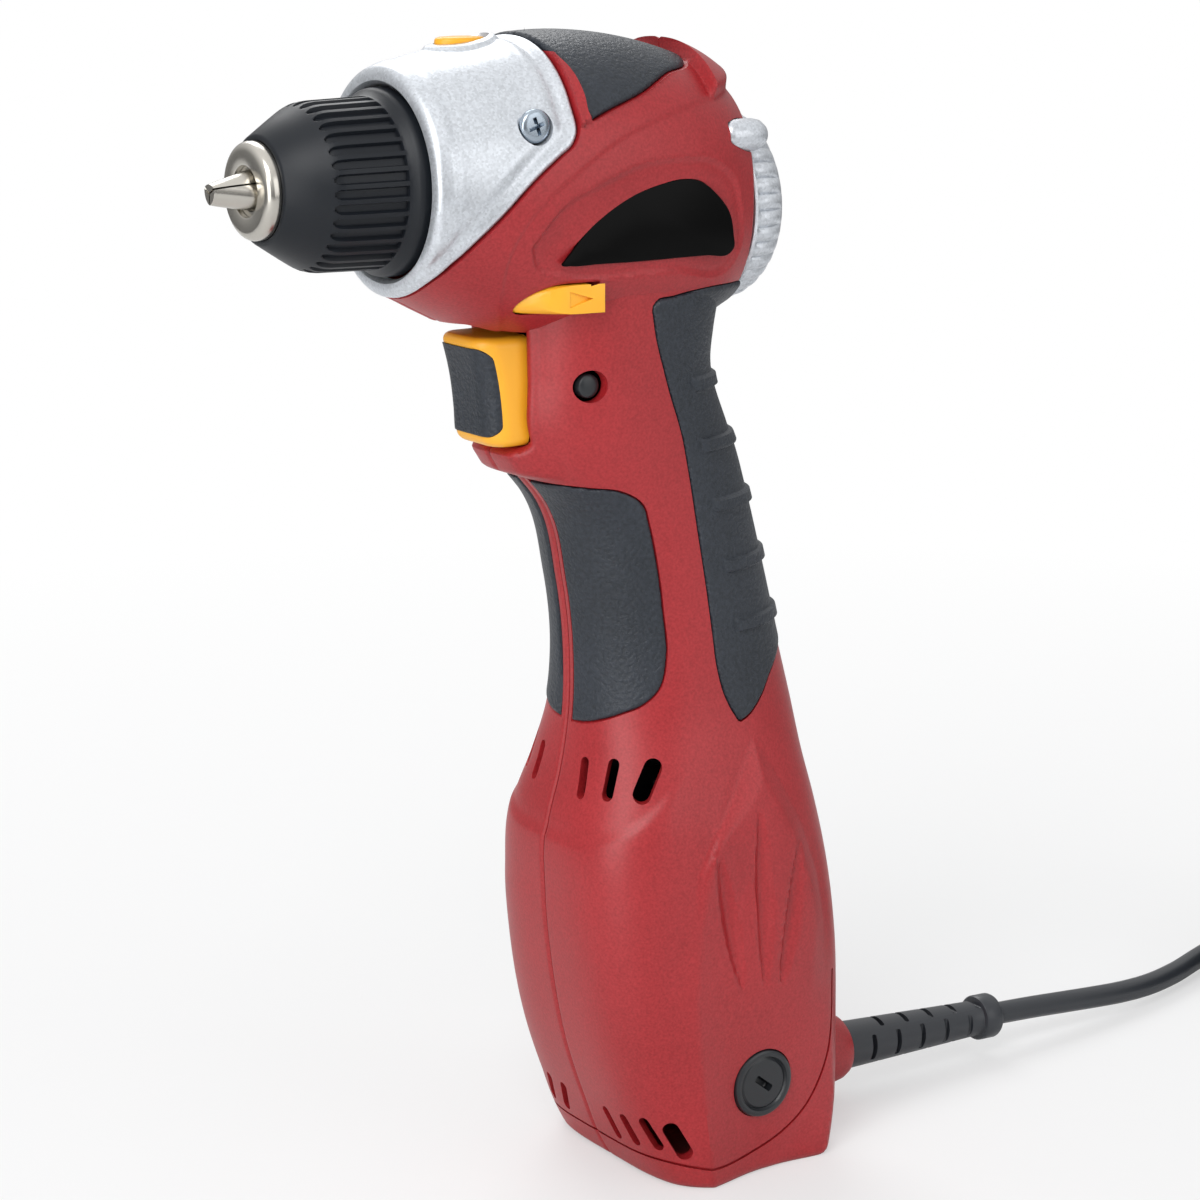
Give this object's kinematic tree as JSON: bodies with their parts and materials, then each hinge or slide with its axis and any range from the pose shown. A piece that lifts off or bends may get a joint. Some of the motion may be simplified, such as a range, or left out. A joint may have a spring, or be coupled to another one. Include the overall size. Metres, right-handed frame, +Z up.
{
  "type": "right angle drill",
  "caption": "Corded right angle drill with an upright motor in the handle, a keyless chuck on a bevel gear head, rubber grips, trigger, reversing lever and lock buttons.",
  "frame": {"origin": "centre of the base that the tool stands on, at floor level on the housing's seam", "axes": "+Z up the handle, -X along the spindle towards the chuck's nose, -Y towards the side with the name plate"},
  "size_m": [0.4172, 0.0944, 0.2761],
  "materials": {
    "red_shell": "fine moulded grain",
    "grip_rubber": "leathery grain, matt",
    "silver_paint": "sparkling silver paint, satin",
    "plate_black": "smooth, bare",
    "steel": "ground",
    "laminations": "plain",
    "copper": "enamelled copper",
    "bronze": "plain",
    "carbon": "carbon block",
    "black_plastic": "matt",
    "sleeve_plastic": "semi-matt",
    "yellow_plastic": "semi-gloss",
    "cord_rubber": "matt"
  },
  "bodies": {
    "housing": {"left_housing": "red_shell", "right_housing": "red_shell", "left_front_grip": "grip_rubber", "right_front_grip": "grip_rubber", "left_rear_grip": "grip_rubber", "right_rear_grip": "grip_rubber", "left_top_grip": "grip_rubber", "right_top_grip": "grip_rubber", "gear_case": "silver_paint", "rear_cap": "silver_paint", "name_plate": "plate_black", "gear_case_screws": "steel", "housing_screws": "steel", "left_brush_cap": "black_plastic", "right_brush_cap": "black_plastic", "brush_holders": "bronze", "carbon_brushes": "carbon", "field_core": "laminations", "field_coils": "copper", "lower_bearing": "steel", "upper_bearing": "steel", "drive_bush": "bronze", "drive_bearing": "steel", "spindle_bearing": "steel", "spindle_bush": "bronze", "switch_body": "black_plastic", "spindle_lock_spring": "steel", "cord_guard": "cord_rubber", "cord_clamp": "black_plastic", "cord": "cord_rubber", "cord_coil": "cord_rubber", "cord_tie": "black_plastic", "plug_body": "cord_rubber", "plug_blades": "steel"},
    "armature": {"armature_shaft": "steel", "armature_core": "laminations", "armature_windings": "copper", "commutator": "copper", "fan": "black_plastic", "motor_pinion": "steel"},
    "drive": {"drive_shaft": "steel", "reduction_gear": "steel", "bevel_pinion": "steel"},
    "spindle": {"spindle": "steel", "bevel_gear": "steel", "chuck_body": "steel", "nose_ring": "steel"},
    "sleeve": {"chuck_sleeve": "sleeve_plastic", "jaw_nut": "steel"},
    "jaw_1": {"jaw_1": "steel"},
    "jaw_2": {"jaw_2": "steel"},
    "jaw_3": {"jaw_3": "steel"},
    "trigger": {"trigger": "yellow_plastic", "trigger_pad": "grip_rubber"},
    "lock_button": {"lock_button": "black_plastic"},
    "reversing_lever": {"reversing_lever": "yellow_plastic"},
    "spindle_lock": {"spindle_lock_button": "yellow_plastic", "spindle_lock_pin": "steel"}
  },
  "joints": [
    {"name": "armature_spin", "type": "hinge", "parent": "housing", "child": "armature", "pos_m": [-0.004, 0, 0.05], "axis": [0, 0, 1], "continuous": true},
    {"name": "drive_spin", "type": "hinge", "parent": "housing", "child": "drive", "pos_m": [-0.02, 0, 0.15], "axis": [0, 0, 1], "continuous": true},
    {"name": "spindle_spin", "type": "hinge", "parent": "housing", "child": "spindle", "pos_m": [-0.06, 0, 0.2447], "axis": [-1, 0, 0], "continuous": true},
    {"name": "sleeve_turn", "type": "hinge", "parent": "spindle", "child": "sleeve", "pos_m": [-0.1, 0, 0.2447], "axis": [-1, 0, 0], "range_deg": [0, 3240]},
    {"name": "jaw_1_slide", "type": "slide", "parent": "spindle", "child": "jaw_1", "axis": [0.9636, 0, 0.2672], "range_m": [0, 0.018]},
    {"name": "jaw_2_slide", "type": "slide", "parent": "spindle", "child": "jaw_2", "axis": [0.9636, -0.2314, -0.1336], "range_m": [0, 0.018]},
    {"name": "jaw_3_slide", "type": "slide", "parent": "spindle", "child": "jaw_3", "axis": [0.9636, 0.2314, -0.1336], "range_m": [0, 0.018]},
    {"name": "trigger_pull", "type": "slide", "parent": "housing", "child": "trigger", "axis": [1, 0, 0], "range_m": [0, 0.007], "stiffness_N_per_m": 500, "springref_m": -0.006},
    {"name": "lock_press", "type": "slide", "parent": "housing", "child": "lock_button", "axis": [0, 1, 0], "range_m": [0, 0.0025], "stiffness_N_per_m": 500, "springref_m": -0.002},
    {"name": "reverse_swing", "type": "hinge", "parent": "housing", "child": "reversing_lever", "pos_m": [-0.04, 0, 0.2191], "axis": [0, 0, 1], "range_deg": [-6, 6]},
    {"name": "spindle_lock_press", "type": "slide", "parent": "housing", "child": "spindle_lock", "axis": [0, 0, -1], "range_m": [0, 0.002], "stiffness_N_per_m": 600, "springref_m": -0.002, "deforming": ["spindle_lock_spring"]}
  ],
  "couplings": [
    {"joint": "drive_spin", "follows": "armature_spin", "ratio": -0.25},
    {"joint": "spindle_spin", "follows": "armature_spin", "ratio": -0.083333},
    {"joint": "sleeve_turn", "follows": "jaw_1_slide", "rad_per_m": 3141.6},
    {"joint": "jaw_2_slide", "follows": "jaw_1_slide", "ratio": 1},
    {"joint": "jaw_3_slide", "follows": "jaw_1_slide", "ratio": 1}
  ]
}
